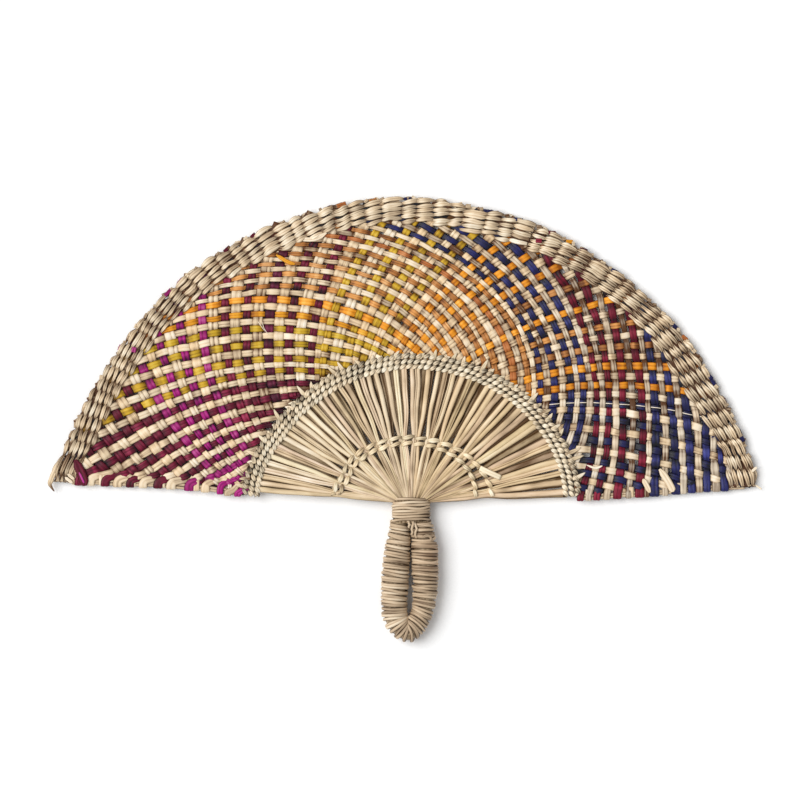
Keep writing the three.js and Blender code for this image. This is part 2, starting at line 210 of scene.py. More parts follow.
def smooth_line(points, count):
    """A smooth curve through points."""
    points = np.asarray(points, float)
    padded = np.vstack([2 * points[0] - points[1], points, 2 * points[-1] - points[-2]])
    places = np.linspace(0, len(points) - 1, count)
    index = np.minimum(places.astype(int), len(points) - 2)
    t = (places - index)[:, None]
    a, b, c, d = (padded[index + k] for k in range(4))
    return 0.5 * (2 * b + (c - a) * t + (2 * a - 5 * b + 4 * c - d) * t ** 2
                  + (3 * b - a - 3 * c + d) * t ** 3)


def doubled_section(split, groove, rim_shade=-0.42):
    """Two straws side by side, parted by a groove at a place from -1 to 1. Its shades are painted
    shade at the sides and in the groove, and a painted highlight on each crest.
    """
    left = [-1 + (split + 1) * p for p in (0, 0.13, 0.5, 0.87)]
    right = [split + (1 - split) * p for p in (0, 0.13, 0.5, 0.87)]
    heights = [0.05, 0.66, 1, 1 - 0.38 * groove, 1 - 0.78 * groove, 1 - 0.34 * groove, 1, 0.62,
               0.05]
    shades = [rim_shade, rim_shade / 5, 0.07, -0.03 - 0.07 * groove, -0.05 - 0.37 * groove,
              -0.02 - 0.06 * groove, 0.07, rim_shade / 4, rim_shade]
    across = left + right + [1]
    across = np.array(across + across[-2:0:-1])
    out = np.array(heights + [-h for h in heights[-2:0:-1]])
    return across, out, np.array(shades + shades[-2:0:-1])


def round_section(sides, crown=1.0, rim_shade=-0.4):
    """One straw, round or flattened, with painted shade towards its sides."""
    turn = np.pi - 2 * np.pi * np.arange(sides) / sides
    out = np.sin(turn)
    out = np.sign(out) * np.abs(out) ** crown
    return np.cos(turn), out, rim_shade * (1 - np.abs(np.sin(turn))) ** 1.6


def add_straw(mesh, path, outward, half_width, half_thickness, section, tone=0.5, tint=(1, 1, 1)):
    """Sweeps a section along a path. The outward vectors point away from what the straw lies on."""
    across, out, shade = section
    direction = unit(np.gradient(path, axis=0))
    outward = np.broadcast_to(outward, path.shape)
    side = unit(np.cross(outward, direction))
    upward = np.cross(direction, side)
    width = np.broadcast_to(half_width, len(path))[:, None, None]
    thickness = np.broadcast_to(half_thickness, len(path))[:, None, None]
    rings = (path[:, None] + side[:, None] * across[None, :, None] * width
             + upward[:, None] * out[None, :, None] * thickness)
    girth = 2 * np.mean(half_width) * np.concatenate([[0], np.cumsum(np.hypot(
        np.diff(across, append=across[0]), 0.4 * np.diff(out, append=out[0])))])
    along = lengths_along(path) + random.uniform(0, 900)
    # The section's painted shade and painted highlights are added to the tone here.
    tones = np.broadcast_to(tone, len(path))[:, None] + shade[None]
    mesh.add(rings, along, girth / 2 + random.uniform(0, 900), tones,
             np.repeat(np.broadcast_to(tint, (len(path), 3)), len(across), axis=0))


def eased(share):
    """A share from 0 to 1 with a slow start and a slow end."""
    return share * share * (3 - 2 * share)


def smooth_noise(count, spread, knots):
    """A smooth random run of numbers."""
    values = random.normal(0, spread, max(int(knots), 2) + 3)
    places = np.linspace(0, len(values) - 1, count)
    low = np.minimum(places.astype(int), len(values) - 2)
    share = eased(places - low)
    return values[low] * (1 - share) + values[low + 1] * share


# Materials

def linear(red, green, blue):
    """A display colour from 0 to 255 as the shaders' own numbers."""
    parts = [value / 255 for value in (red, green, blue)]
    return [p / 12.92 if p <= 0.04045 else ((p + 0.055) / 1.055) ** 2.4 for p in parts] + [1]


class Nodes:
    """Short names for the making of a material's or a world's nodes."""

    def __init__(self, owner):
        owner.use_nodes = True
        self.tree = owner.node_tree

    def feed(self, socket, value):
        """Gives a socket a plain value or the output of another node."""
        if isinstance(value, bpy.types.NodeSocket):
            self.tree.links.new(value, socket)
        else:
            socket.default_value = value

    def feed_surface(self, values):
        for name, value in values.items():
            self.feed(self.tree.nodes["Principled BSDF"].inputs[name], value)

    def node(self, kind, inputs=(), output=0, **settings):
        """One output of a new node, made from its inputs and its settings."""
        made = self.tree.nodes.new(kind)
        for key, value in settings.items():
            setattr(made, key, value)
        for socket, value in dict(inputs).items():
            self.feed(made.inputs[socket], value)
        return made.outputs[output]

    def math(self, operation, *values):
        return self.node("ShaderNodeMath", enumerate(values), operation=operation)

    def noise(self, vector, scale, detail=3.0):
        return self.node("ShaderNodeTexNoise", {"Vector": vector, "Scale": scale,
                                                "Detail": detail, "Roughness": 0.6}, "Fac")

    def grain_noise(self, along, across, detail=2.0):
        """Noise on the straws, by how fast it changes along and across them."""
        grain = self.node("ShaderNodeUVMap", output="UV", uv_map="grain")
        factors = (along, across, 1)
        stretched = self.node("ShaderNodeVectorMath", enumerate((grain, factors)),
                              operation="MULTIPLY")
        return self.noise(stretched, 1.0, detail)

    def ramp(self, factor, stops):
        made = self.node("ShaderNodeValToRGB", {"Fac": factor}, "Color")
        elements = made.node.color_ramp.elements
        while len(elements) < len(stops):
            elements.new(0.5)
        for element, (place, colour) in zip(elements, stops):
            element.position = place
            element.color = linear(*colour)
        return made

    def mix(self, blend, factor, first, second):
        return self.node("ShaderNodeMix", {0: factor, 6: first, 7: second}, 2,
                         data_type="RGBA", blend_type=blend)


def straw_material(name, dark, middle, light, stain, gloss=0.5, shine=0.22, fineness=1.0):
    """Straw with fibres along it and soft stains, and with the painted shade and painted highlights
    that the tone carries: darker creases, pale crests.
    """
    material = bpy.data.materials.new(name)
    nodes = Nodes(material)
    fibres = nodes.grain_noise(0.16, 3.6, 4.0)
    streaks = nodes.grain_noise(0.07, 1.1 * fineness)
    specks = nodes.grain_noise(1.1, 3.0)
    blotches = nodes.noise(nodes.node("ShaderNodeTexCoord", output="Object"), 75.0)
    tone = nodes.node("ShaderNodeAttribute", output="Fac", attribute_name="tone")
    factor = nodes.math("MULTIPLY_ADD", fibres, 0.55 * fineness, -0.275 * fineness)
    factor = nodes.math("ADD", factor, tone)
    factor = nodes.math("ADD", factor, nodes.math("MULTIPLY", streaks, 0.5))
    factor = nodes.math("ADD", factor, nodes.math("MULTIPLY", blotches, 0.3))
    factor = nodes.math("SUBTRACT", factor, 0.4)
    colour = nodes.ramp(factor, [(0.02, dark), (0.5, middle), (0.95, light)])
    spots = nodes.math("MULTIPLY", nodes.math("GREATER_THAN", specks, 0.69), 0.35)
    colour = nodes.mix("MIX", spots, colour, linear(*stain))
    tint = nodes.node("ShaderNodeAttribute", output="Color", attribute_name="tint")
    relief = nodes.math("ADD", fibres, nodes.math("MULTIPLY", streaks, 0.8))
    bump = nodes.node("ShaderNodeBump", {"Strength": 0.55, "Distance": 0.0003, "Height": relief})
    rough = nodes.math("SUBTRACT", gloss + 0.2, nodes.math("MULTIPLY", fibres, 0.4))
    nodes.feed_surface({"Base Color": nodes.mix("MULTIPLY", 1.0, colour, tint), "Normal": bump,
                        "Roughness": rough, "Specular IOR Level": shine})
    return material


# Each straw's dark, middle and light colour and its stains, then its gloss, shine and fineness
STRAWS = {
    "border_straw": ((90, 62, 40), (214, 191, 158), (255, 244, 222), (168, 128, 102)),
    "weave_straw": ((88, 52, 24), (227, 203, 168), (252, 241, 221), (186, 142, 106)),
    "band_straw": ((50, 34, 18), (222, 204, 174), (254, 246, 226), (144, 120, 88)),
    "cream_straw": ((88, 62, 38), (224, 202, 164), (252, 240, 214), (178, 140, 98)),
    "stalk_straw": ((92, 66, 38), (218, 194, 159), (254, 242, 218), (166, 124, 92), 0.5, 0.22, 0.5),
    "cord_straw": ((80, 56, 36), (200, 176, 146), (242, 226, 200), (158, 120, 98)),
    "wine_straw": ((18, 0, 5), (92, 6, 34), (160, 50, 82), (44, 2, 14), 0.46, 0.2),
    "magenta_straw": ((50, 0, 34), (164, 22, 116), (216, 96, 176), (90, 6, 60), 0.46, 0.2),
    "yellow_straw": ((96, 62, 4), (204, 162, 38), (236, 208, 104), (140, 96, 20)),
    "orange_straw": ((150, 80, 8), (236, 152, 34), (252, 200, 100), (170, 90, 14)),
    "tan_straw": ((98, 54, 22), (196, 134, 76), (234, 190, 138), (122, 70, 36)),
    "navy_straw": ((2, 1, 12), (20, 21, 74), (60, 64, 138), (8, 6, 30), 0.4, 0.26),
}
materials = {name: straw_material(name, *look) for name, look in STRAWS.items()}


# The plaited strands. Each family's strands are numbered from the left, an even number for a dyed
# strand and an odd one for the undyed strand after it. Half a number is a place in the lists.
INNER_ANGLES = {
    "front": (-7, [
        7, 13.5, 20.6, 27.9, 34.8, 43.2, 51.3, 59, 66, 74.1, 81.4, 86.9, 93.5, 100.4, 104.6, 110.3,
        116.5, 120.7, 128.3, 134.5, 139.5, 146.7, 155.6, 162.1, 170.5]),
    "back": (-3, [
        -34, -25.4, -16.1, -8.3, -0.8, 4.9, 9.5, 14.5, 20.6, 27.9, 34.4, 42.1, 49, 57.4, 61.6, 70.5,
        76.6, 82.3, 88.3, 93.5, 99.6, 105.3, 111.5, 117.6, 123.5, 129.7, 136, 142.5, 147.7, 157.1,
        165.5, 170.5, 176.3, 182]),
}
ANGLE_STEP_BEYOND = 6.6
OUTER_START_ANGLE = 18.7
OUTER_ANGLE_STEPS = {"front": 5.75, "back": 5.9}
# The reach of the strands' outer ends, and how much less that of the inner ends is
OUTER_REACHES = {"front": 0.8554, "back": 0.8686}
INWARD_REACH = 0.3696
# How far a strand's line is carried on under the border, as a share of its length
OUTSIDE_SHARE = 0.34

# The strands' half widths, by their place: dyed ones and undyed ones of each family.
HALF_WIDTHS = {
    ("front", True): ([6, 14, 22, 24], [2.1, 2.8, 2.8, 3.1]),
    ("front", False): ([6, 14, 22, 24], [2.2, 1.8, 1.7, 2.3]),
    ("back", True): ([10, 18], [2.3, 1.9]),
    ("back", False): ([10, 18], [2.7, 1.9]),
}

# The steep strands at the right, from this place on: the reach and angle where they start, the
# share of the half width where they end on the lower edge, and how far they bulge.
STEEP_FROM = 16.7
STEEP_PLACES = range(16, 28)
STEEP_START_REACHES = [0.855, 0.855, 0.86, 0.86, 0.865, 0.85, 0.85, 0.855, 0.881, 0.898, 0.919,
                       0.939]
STEEP_START_ANGLES = [113.6, 120, 125.8, 131.9, 136.6, 143.4, 149.3, 156, 163.1, 168, 171.9, 174.5]
STEEP_ENDS = [0.44, 0.485, 0.532, 0.591, 0.654, 0.697, 0.76, 0.803, 0.846, 0.898, 0.945, 0.975]
STEEP_BULGES = [42, 30.4, 20.5, 10.5, 8.6, 4.4, 3.0, 1.2, 0, 0, 0, 0]
STEEP_OUTSIDE_LENGTH = 24

# How fast the strands turn at first, and how far their outer ends are shifted, by their place.
FIRST_TURNS = {
    "front": ([-7, 1, 3, 5, 7, 10, 13, 17], [0.6, 0.6, 0.8, 1.05, 1.3, 1.3, 1.2, 0.8]),
    "back": ([0], [0.8]),
}
OUTER_SHIFTS = {
    "front": ([14, 15, 16, 17], [0, 1.25, 2.6, 3.4]),
    "back": ([18.5, 20, 21, 25, 28], [0, 1.4, 1.8, 1.8, 0]),
}

# Where the front strands meet the left lower edge: along it by their own bend, and as they lie.
LEFT_ENDS = ([-181, -169.2, -150.1, -133.7, -118, -105, -97.5],
             [-184.5, -177.4, -163.1, -148, -130.3, -110.5, -99.6])

DYES = {
    "front": [(-9, "magenta"), (-6, "pink"), (-5, "burgundy"), (0, "yellow"), (2, "olive"),
              (4, "amber"), (5, "orange"), (6, "apricot"), (8, "tan"), (9, "brown"),
              (11, "russet"), (12, "brown"), (13, "navy"), (17, "red"), (21, "navy")],
    "back": [(-9, "burgundy"), (2, "pink"), (3, "magenta"), (5, "pink"), (6, "burgundy"),
             (8, "purple"), (9, "burgundy"), (11, "yellow"), (15, "orange"), (18, "tan"),
             (19, "orange"), (20, "apricot"), (21, "brown"), (22, "orange"), (24, "navy")],
}

# Each dye's mesh and its tint of that mesh's material. None is undyed straw.
DYE_MESHES = {
    None: ("natural", (1, 1, 1)),
    "magenta": ("magenta", (1, 1, 1)),
    "pink": ("magenta", (0.86, 1.2, 0.82)),
    "burgundy": ("wine", (1, 1, 1)),
    "red": ("wine", (1.1, 0.9, 0.8)),
    "purple": ("wine", (0.66, 0.9, 1.05)),
    "yellow": ("yellow", (1, 1, 1)),
    "olive": ("yellow", (0.94, 0.97, 0.9)),
    "amber": ("orange", (0.9, 1.0, 0.8)),
    "orange": ("orange", (1, 1, 1)),
    "apricot": ("tan", (1.22, 1.2, 1.0)),
    "tan": ("tan", (1.05, 1.05, 1)),
    "brown": ("tan", (0.84, 0.77, 0.66)),
    "russet": ("tan", (0.8, 0.58, 0.48)),
    "navy": ("navy", (1, 1, 1)),
}

# The solids that each of the strands' meshes stands for
STRAND_SHEETS = {
    "natural": (),
    "wine": ("front_wine", "back_wine", "front_red", "back_red"),
    "magenta": ("back_magenta",),
    "yellow": ("front_yellow", "back_yellow"),
    "orange": ("front_orange", "back_orange"),
    "tan": ("front_tan", "back_tan"),
    "navy": ("front_navy", "back_navy", "front_blue"),
}
strand_meshes = {key: StrawMesh() for key in STRAND_SHEETS}


def inner_angle(family, place):
    first, angles = INNER_ANGLES[family]
    last = first + len(angles) - 1
    inside = np.interp(place, range(first, last + 1), angles)
    return inside + ANGLE_STEP_BEYOND * (min(place - first, 0) + max(place - last, 0))


def steep_value(place, values):
    return np.interp(place, STEEP_PLACES, values)


def strand_plane_point(family, place, share, steep):
    """A point of a strand in the plane, from its outer end at share 0 to its inner end at 1."""
    if steep:
        start = chart_point(steep_value(place, STEEP_START_ANGLES),
                            steep_value(place, STEEP_START_REACHES))
        end_x = HALF_WIDTH * steep_value(place, STEEP_ENDS)
        end = np.array([end_x, lower_edge(end_x)])
        middle = (start + end) / 2 + [steep_value(place, STEEP_BULGES), 0]
        share = share[:, None]
        inside = np.clip(share, 0, 1)
        curve = ((1 - inside) ** 2 * start + 2 * inside * (1 - inside) * middle
                 + inside ** 2 * end)
        outside = (share - inside) * STEEP_OUTSIDE_LENGTH / OUTSIDE_SHARE
        return curve + outside * unit(middle - start)
    first_turn = np.interp(place, *FIRST_TURNS[family])
    outer = OUTER_START_ANGLE + OUTER_ANGLE_STEPS[family] * place
    outer += np.interp(place, *OUTER_SHIFTS[family])
    turned = share * (first_turn + (1 - first_turn) * share)
    angle = outer + (inner_angle(family, place) - outer) * turned
    return chart_point(angle, OUTER_REACHES[family] - INWARD_REACH * share)


def longest_run(inside):
    """The first and last index of the longest unbroken run of true values."""
    marks = np.flatnonzero(np.diff(np.concatenate([[0], inside.astype(int), [0]])))
    runs = [(marks[i], marks[i + 1] - 1) for i in range(0, len(marks), 2)]
    return max(runs, key=lambda run: run[1] - run[0]) if runs else (0, 0)


def turned_to_edge(path, turn_height, swept):
    """The path with its last stretch turned straight down to the lower edge."""
    high = np.flatnonzero(path[:, 1] - lower_edge(path[:, 0]) > turn_height)
    if len(high) < 3:
        return path
    stay = path[:high[-1] + 1]
    start = stay[-1]
    heading = unit(stay[-1] - stay[-2])
    end_x = start[0] * 0.4 + path[-1][0] * 0.6
    if swept:
        end_x = np.interp(end_x, *LEFT_ENDS)
    end = np.array([end_x, lower_edge(end_x) + 0.9])
    reach = np.linalg.norm(end - start) * 0.55
    share = np.linspace(0, 1, 19)[1:, None]
    turn = ((1 - share) ** 3 * start + 3 * share * (1 - share) ** 2 * (start + heading * reach)
            + 3 * share ** 2 * (1 - share) * (end + [0, min(reach, 5.5)]) + share ** 3 * end)
    return np.concatenate([stay, turn])


def dye_of(family, number):
    """The dye of a strand, or None for an undyed one."""
    if number % 2:
        return None
    found = None
    for first, dye in DYES[family]:
        if number / 2 >= first:
            found = dye
    return found


STRAND_STEPS = 300
FEWEST_STEPS = 12
# The distance between a strand's points
RING_SPACING = 1.15


class Strand:
    """One strand: its path in the plane, its half width along it and where it crosses others."""

    def __init__(self, family, number):
        self.family = family
        self.number = number
        self.crossings = []
        self.path = None
        place = number / 2
        steep = family == "front" and place > STEEP_FROM
        share = np.linspace(-OUTSIDE_SHARE, 1.0 if steep else 1.1, STRAND_STEPS)
        points = strand_plane_point(family, place, share, steep)
        angle = chart_angle(points)
        reach = chart_reach(points)
        above_edge = points[:, 1] > lower_edge(points[:, 0]) + 0.5
        stub = random.uniform(-0.006, 0.006) if number % 2 else -0.016
        inside = (above_edge & (reach < rim_reach(angle) + stub)
                  & (reach > band_outer_reach(angle) - 0.022))
        first, last = longest_run(inside)
        if last - first < FEWEST_STEPS:
            return
        self.edge_start = first > 0 and not above_edge[first - 1]
        self.edge_end = last + 1 < len(points) and not above_edge[last + 1]
        self.edge_end = self.edge_end or (steep and last == len(points) - 1)
        beside = [strand_plane_point(family, place + side, share, steep) for side in (-0.25, 0.25)]
        chord = beside[1] - beside[0]
        direction = unit(np.gradient(points, axis=0))
        half_width = np.abs(cross(chord, direction)) / 2
        kept = slice(first, last + 1)
        path = points[kept]
        widest = np.interp(place, *HALF_WIDTHS[family, number % 2 == 0])
        half_width = np.clip(half_width[kept] * (0.98 if steep else 0.88), 1.2, widest)
        half_width *= random.uniform(0.86, 1.1)
        under_border = np.clip((reach - border_inner_reach(angle))[kept] / 0.02, 0, 1)
        under_border *= np.clip((rim_reach(angle) - 0.001 - reach)[kept] / 0.01, 0, 1)
        reference = path.copy()
        turn_height = 10.0 if family == "front" and not steep else 3.0
        swept = family == "front" and path[:, 0].min() < -95
        if self.edge_end:
            path = turned_to_edge(path, turn_height, swept)
        if self.edge_start:
            path = turned_to_edge(path[::-1], turn_height, swept)[::-1]
        self.path = resampled(path, RING_SPACING)
        wander = smooth_noise(len(self.path), 0.24, len(self.path) / 8)
        across = unit(np.gradient(self.path, axis=0))[:, ::-1] * [-1, 1]
        self.path = self.path + across * wander[:, None]
        nearest = np.argmin(np.linalg.norm(
            self.path[:, None] - reference[None, ::4], axis=2), axis=1)
        self.half_width = half_width[::4][nearest]
        self.under_border = under_border[::4][nearest]
        self.along = lengths_along(self.path)

    def weave(self):
        """How high the strand runs at each point, from -1 to 1, and the cell that it is in."""
        if not self.crossings:
            return np.zeros(len(self.path)), np.zeros(len(self.path), int)
        places, heights = np.array(sorted(self.crossings), float).T
        gaps = np.diff(places) if len(places) > 1 else [5.0]
        places = np.concatenate([[places[0] - gaps[0]], places, [places[-1] + gaps[-1]]])
        heights = np.pad(heights, 1)
        cells = np.clip(np.searchsorted(places, self.along) - 1, 0, len(places) - 2)
        share = (self.along - places[cells]) / np.maximum(np.diff(places)[cells], 0.1)
        share = eased(np.clip((np.clip(share, 0, 1) - 0.12) / 0.76, 0, 1))
        return heights[cells] * (1 - share) + heights[cells + 1] * share, cells


def crossing_places(first, second):
    """Where two strands cross, as a place along each, or None."""
    p = first.path[::2]
    q = second.path[::2]
    r = (p[1:] - p[:-1])[:, None]
    s = (q[1:] - q[:-1])[None]
    gap = q[None, :-1] - p[:-1, None]
    turn = cross(r, s)
    turn = np.where(np.abs(turn) < 1e-9, 1e-9, turn)
    on_p = cross(gap, s) / turn
    on_q = cross(gap, r) / turn
    hits = np.argwhere((on_p >= 0) & (on_p < 1) & (on_q >= 0) & (on_q < 1))
    if not len(hits):
        return None
    i, j = hits[0]
    return (first.along[2 * i] + on_p[i, j] * 2 * RING_SPACING,
            second.along[2 * j] + on_q[i, j] * 2 * RING_SPACING)


def strands_of(family, numbers):
    made = [Strand(family, number) for number in numbers]
    return [strand for strand in made if strand.path is not None]


front_strands = strands_of("front", range(-16, 55))
back_strands = strands_of("back", range(-7, 62))
for front in front_strands:
    for back in back_strands:
        if (front.path.min(0) > back.path.max(0)).any() or (
                back.path.min(0) > front.path.max(0)).any():
            continue
        places = crossing_places(front, back)
        if places:
            height = 1 if (front.number + back.number) % 2 else -1
            front.crossings.append((places[0], height))
            back.crossings.append((places[1], -height))

# How far a strand rises over another one, and at the lower edges
WEAVE_HEIGHT = 0.72
EDGE_LIFT = 1.15
STRAND_HALF_THICKNESS = 0.58
# The undyed front strands after this one are duller.
LAST_BRIGHT_STRAND = 26
# Every other undyed back strand is flat, and so are all after this one.
LAST_GROOVED_STRAND = 40
# The back strand along which a white thread lies
THREADED_STRAND = 48
# How deep the groove along a strand is, by its family and whether it is dyed.
GROOVES = {
    ("front", True): (0.0, 0.5),
    ("front", False): (0.0, 0.5),
    ("back", True): (0.1, 0.6),
    ("back", False): (0.35, 1.0),
}


def folded_end(end, side):
    """The points and outward vectors of a strand that folds round the lower edge's straw."""
    radius = EDGE_LIFT if side > 0 else 0.7
    turn = np.radians(np.linspace(0, 180, 9))[1:]
    down = np.concatenate([radius * np.sin(turn), [-2.0, -3.8]])
    lift = side * radius * np.concatenate([np.cos(turn), [-1, -1]])
    path = np.column_stack([np.full(len(down), end[0]), end[1] - down * 1.2,
                            middle_height(end) + lift])
    outward = np.column_stack([0 * down, -np.concatenate([np.sin(turn), [0, 0]]), lift])
    return np.column_stack([path, unit(outward)])


def add_strand(strand):
    """A strand with its waves, creases, colours and folded ends, and painted shade where it dips
    under others, near the lower edge and under the border.
    """
    side = 1 if strand.family == "front" else -1
    x, y = strand.path.T
    under_border = strand.under_border
    weave, cells = strand.weave()
    lift = weave * WEAVE_HEIGHT
    left = strand.along[-1] - strand.along
    dye = dye_of(strand.family, strand.number)
    shaded = np.zeros(len(left))
    at_left = x.min() < 0
    for at_edge, distance in ((strand.edge_start, strand.along), (strand.edge_end, left)):
        if at_edge:
            share = np.clip(distance / (11.0 if at_left else 5.0), 0, 1) ** 2
            lift = lift * share + side * EDGE_LIFT * (1 - share)
            # Dyed back strands get painted shade near the lower edge.
            if side < 0 and dye:
                shaded += np.clip(1.6 - distance / 5, 0, 1)
    key, tint = DYE_MESHES[dye]
    # Painted shade darkens the tone of a strand where it runs under the border.
    base = random.normal(0.5, 0.07) - 0.45 * under_border
    base += 0.05 if side < 0 and not dye else 0
    cell_tones = np.clip(random.normal(0, 0.12, cells.max() + 2), -0.2, 0.2)
    tone = base + cell_tones[cells] + smooth_noise(len(cells), 0.04, len(cells) / 5)
    # Painted shade darkens the strand where it dips under another, and near the edge.
    dip = np.clip(1 - np.abs(lift) / WEAVE_HEIGHT, 0, 1)
    dip_shade = 0.26 * dip ** 2 if side > 0 else 0.34 * dip ** 1.3
    tone -= (0.4 * dip ** 1.3 if dye else dip_shade) + 0.5 * shaded
    lift = lift * (1 - 0.7 * under_border)
    if not dye:
        warm = random.uniform(-1, 1)
        tint = (1 + 0.03 * warm, 1 - 0.01 * warm, 1 - 0.07 * warm)
        if side > 0 and strand.number > LAST_BRIGHT_STRAND:
            tone -= 0.17
            tint = tint * np.array([0.96, 0.985, 1.04])
        at_right = np.interp(x, [15, 45, 110], [0, 0.8, 1]) * np.interp(y, [-10, 10], [-0.7, 1])
        tone -= 0.08 * at_right
        cool = np.interp(x, [75, 105], [0, 1])
        tint = tint * (1 - np.outer(cool, [0.03, -0.005, -0.07]))
    elif side < 0:
        tone -= 0.14 * np.interp(x, [40, 80], [0, 1])
    # Painted shade under the border also darkens the tint there.
    tint = np.array(tint) * (1 - np.outer(under_border, [0.38, 0.44, 0.48]))
    path = raised(strand.path, lift)
    outward = np.tile([0.0, 0.0, side], (len(path), 1))
    width = strand.half_width * (1 + 0.05 * smooth_noise(len(path), 1, len(path) / 6))
    width = width * ((1.03 if side > 0 else 1.07) + 0.2 * under_border)
    if side > 0 and at_left and (strand.edge_start or strand.edge_end):
        end_distance = left if strand.edge_end else strand.along
        width = width * (1 + 0.25 * np.clip(1 - end_distance / 9, 0, 1))
    straw = np.column_stack([path, outward, width, tone, tint])
    for at_edge, order in ((strand.edge_end, 1), (strand.edge_start, -1)):
        if at_edge and (side > 0 or not dye) and under_border[::order][-1] < 0.5:
            fold = folded_end(strand.path[::order][-1], side)
            folded = np.tile(straw[::order][-1], (len(fold), 1))
            folded[:, :6] = fold
            folded[:, 6] *= 1 if side > 0 else 0.75
            straw = np.concatenate([straw[::order], folded])[::order]
    path, outward, width, tone, tint = np.split(straw, [3, 6, 7, 8], axis=1)
    groove = random.uniform(*GROOVES[strand.family, dye is not None])
    if side < 0 and not dye and (strand.number % 4 == 1 or strand.number > LAST_GROOVED_STRAND):
        groove = 0.1
        tint = tint * [1, 0.96, 0.9]
    section = doubled_section(random.uniform(-0.3, 0.3), groove)
    add_straw(strand_meshes[key], path, outward, width[:, 0], STRAND_HALF_THICKNESS, section,
              tone[:, 0], tint)
    if side < 0 and strand.number == THREADED_STRAND:
        thread = path + [0, 0.3, STRAND_HALF_THICKNESS]
        add_straw(strand_meshes["natural"], thread, UP, 0.24, 0.2, round_section(6), 0.95)


for strand in front_strands + back_strands:
    add_strand(strand)


# Twined rows

def add_twined_row(mesh, path, phase, ply_width, ply_thickness, sway, depth, base_tone, groove,
                   rim_shade, lift=0.0, arch=0.0, pinch=0.45, stagger=0.0, overlap=0.0):
    """Two plies that twist round each other. The phase grows by pi from bead to bead. Each bead
    gets painted shade towards its ends, and is painted lighter at one end and darker at the other,
    as if lit from one side.
    """
    direction = unit(np.gradient(path, axis=0))
    outward = np.stack([-direction[:, 1], direction[:, 0]], axis=-1)
    middle = middle_height(path) + lift
    for start, ply_shift in ((0, stagger), (np.pi, -stagger)):
        turn = phase + start
        level = np.cos(turn) + overlap
        front = np.where(level > 0, level / (1 + overlap), -level / (1 - overlap))
        offset = sway * np.sin(turn) + arch * (front - 0.5) + ply_shift
        offset = offset + smooth_noise(len(path), 0.12, len(path) / 10)
        ply = np.column_stack([path + outward * offset[:, None], middle + depth * level])
        bead = np.floor(turn / np.pi + 0.5).astype(int)
        beads = bead.max() - bead.min() + 1
        bead = bead - bead.min()
        # Painted shade darkens each bead towards its ends, and painted light and shade make one end
        # of it lighter and the other darker.
        tone = base_tone + random.normal(0, 0.1, beads)[bead] - 0.5 * (1 - front) ** 2
        tone -= 0.14 * front * np.sin(2 * turn)
        width = ply_width * (pinch + (1 - pinch) * front)
        width = width * (1 + smooth_noise(len(path), 0.06, len(path) / 8))
        width = width * (1 + (random.uniform(-0.16, 0.16, beads)[bead]) * front)
        thickness = ply_thickness * (0.85 + 0.15 * front)
        section = doubled_section(random.uniform(-0.25, 0.25), groove, rim_shade)
        warm = random.uniform(-1, 1, beads)[bead][:, None]
        tint = 1 + warm * np.array([0.025, -0.01, -0.05])
        add_straw(mesh, ply, UP, width, thickness, section, tone, tint)


BORDER_ROWS = 5
# The width of a bead in degrees and how far the beads lean, by the angle
BEAD_ANGLES = ([0, 6, 9, 90, 115, 130, 180], [6, 5, 2.75, 2.8, 2.95, 3.2, 3.1])
BORDER_SWAYS = ([0, 12, 35, 60, 75, 92, 112, 150, 165, 180],
                [0.3, 0.35, 0.35, 0.5, 0.7, 0.6, 0.45, 0.35, 0.4, 0.4])
# The border's two stretches: from and to which angle, and how deep the straws' grooves are
BORDER_STRETCHES = ((0, 112, 0.35), (112, 180, 0.85))
BORDER_TONES = ([0, 48, 66, 108, 122, 180], [0.44, 0.45, 0.56, 0.55, 0.47, 0.47])
BORDER_STEPS = 1100

angles = np.linspace(1.2, 178.9, BORDER_STEPS)
beads = np.cumsum(1 / np.interp(angles, *BEAD_ANGLES)) * (angles[1] - angles[0])
beads = beads + smooth_noise(BORDER_STEPS, 0.1, 110)
outer = rim_reach(angles)
inner = border_inner_reach(angles)
sway = np.interp(angles, *BORDER_SWAYS)
for row in range(BORDER_ROWS):
    border = StrawMesh()
    wobble = smooth_noise(BORDER_STEPS, 0.0016, 50)
    reach = outer - (row + 0.42) / BORDER_ROWS * (outer - inner) + wobble
    path = chart_point(angles, reach)
    above = path[:, 1] > lower_edge(path[:, 0]) + 0.8
    phase = np.pi * beads + smooth_noise(BORDER_STEPS, 0.12, 60)
    room = lengths_along(path)[-1] / (angles[-1] - angles[0]) * 180 / np.pi
    half_pitch = room * (outer - inner) / BORDER_ROWS / 2
    for from_angle, to_angle, groove in BORDER_STRETCHES:
        part = above & (angles >= from_angle) & (angles < to_angle)
        add_twined_row(border, path[part], phase[part], 1.07 * half_pitch[part], 0.95, sway[part],
                       1.3, np.interp(angles[part], *BORDER_TONES), groove, rim_shade=-0.78,
                       arch=0.5 if row == 0 else 0.0, pinch=0.4,
                       stagger=0.5 * half_pitch[part], overlap=0.2)
    border.build_row(f"border_row_{row + 1}", "border_straw")

INNER_ROWS = 3
BAND_BEAD_ANGLE = 2.3
BAND_ROW_PITCH = 0.0172

